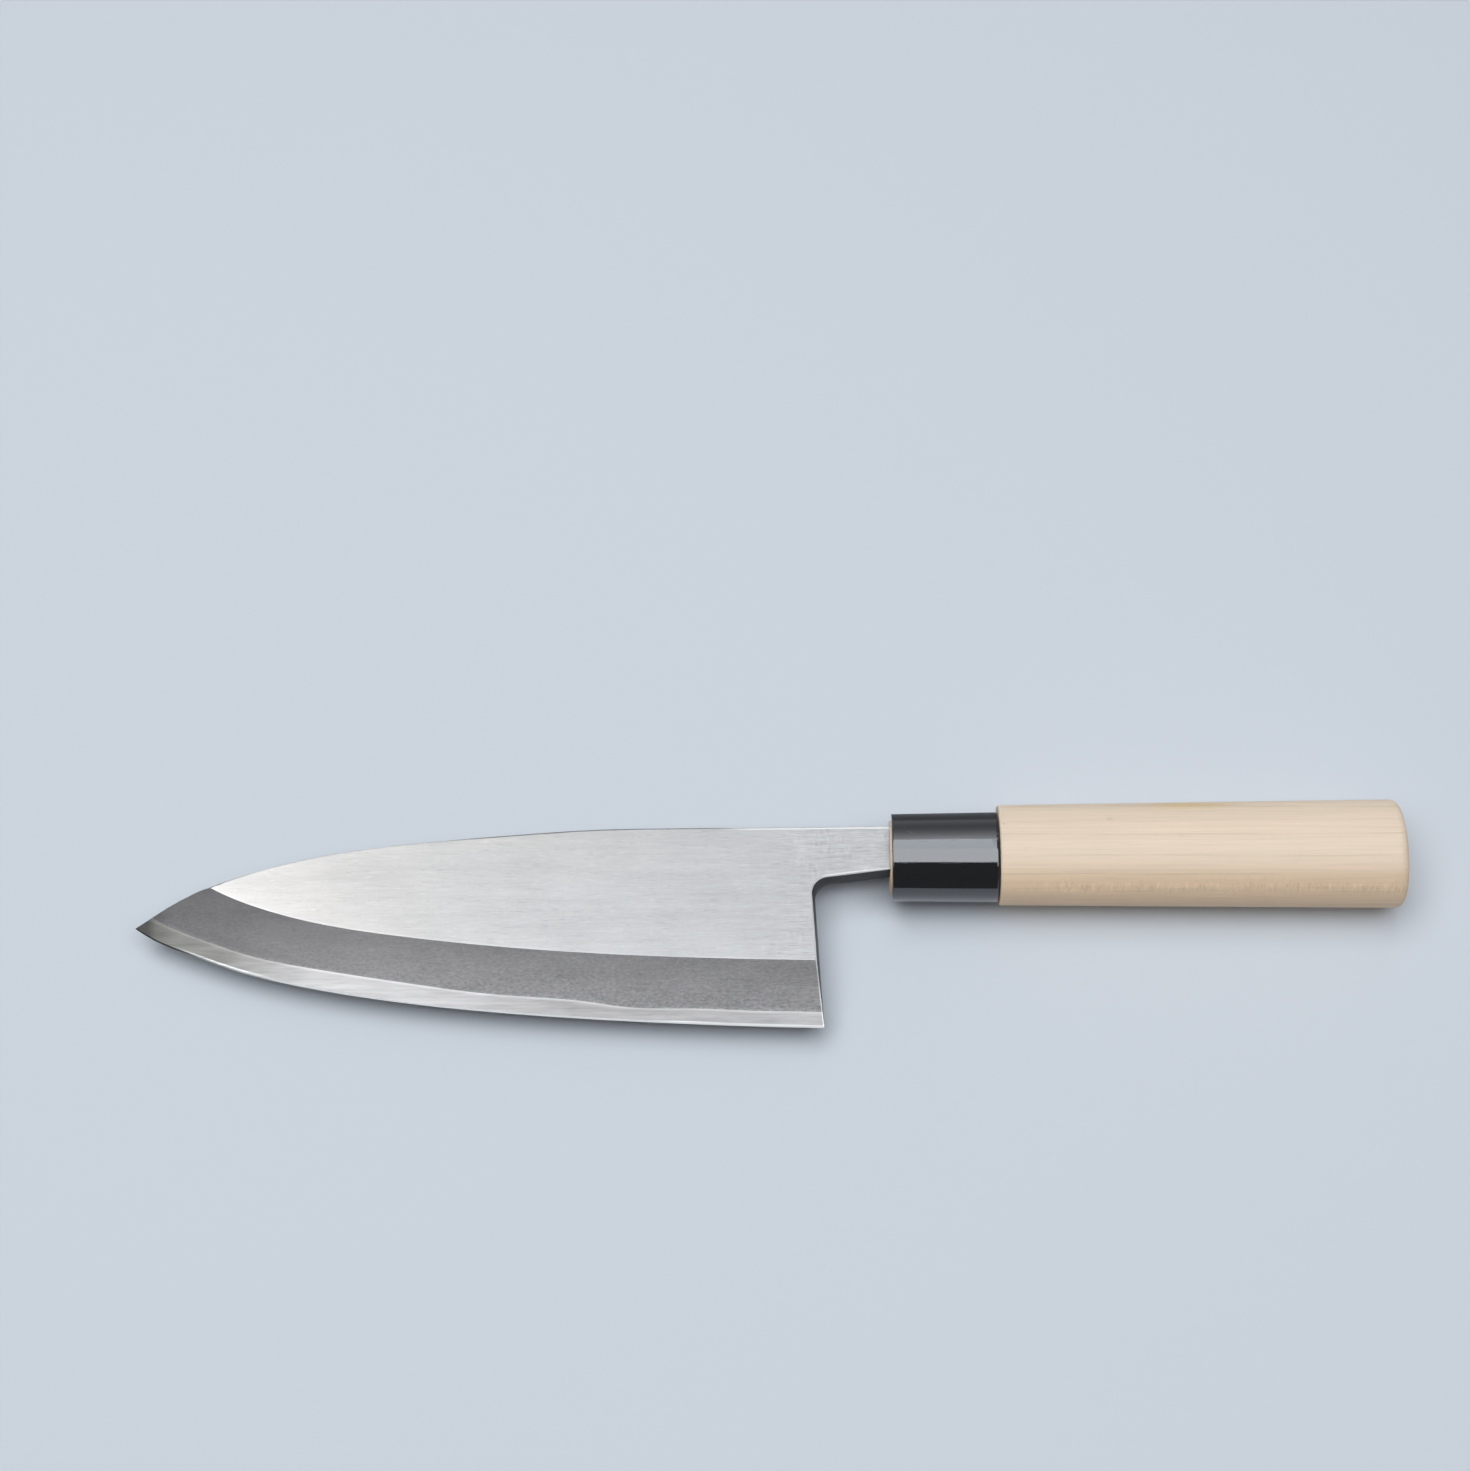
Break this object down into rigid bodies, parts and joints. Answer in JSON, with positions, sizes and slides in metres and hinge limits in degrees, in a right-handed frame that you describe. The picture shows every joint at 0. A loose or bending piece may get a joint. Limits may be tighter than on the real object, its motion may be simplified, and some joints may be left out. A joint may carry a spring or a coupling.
{
  "type": "deba knife",
  "caption": "Heavy single-bevel kitchen knife for fish, with a forge-welded blade, hollow-ground back and oval wooden handle.",
  "frame": {"origin": "middle of the ferrule's front face, on the handle's axis", "axes": "+X along the handle from blade to butt, +Y from the cutting edge to the spine, +Z out of the bevelled face"},
  "size_m": [0.3002, 0.0552, 0.021],
  "materials": {
    "soft_iron": "satin, brushed along the blade",
    "hard_steel": "bright, fine ground",
    "ferrule_plastic": "polished black",
    "handle_wood": "sanded bare wood",
    "resin": "matte"
  },
  "bodies": {
    "root": {"blade_body": "soft_iron", "cutting_steel": "hard_steel", "ferrule": "ferrule_plastic", "handle": "handle_wood", "tang_resin": "resin"}
  },
  "joints": []
}
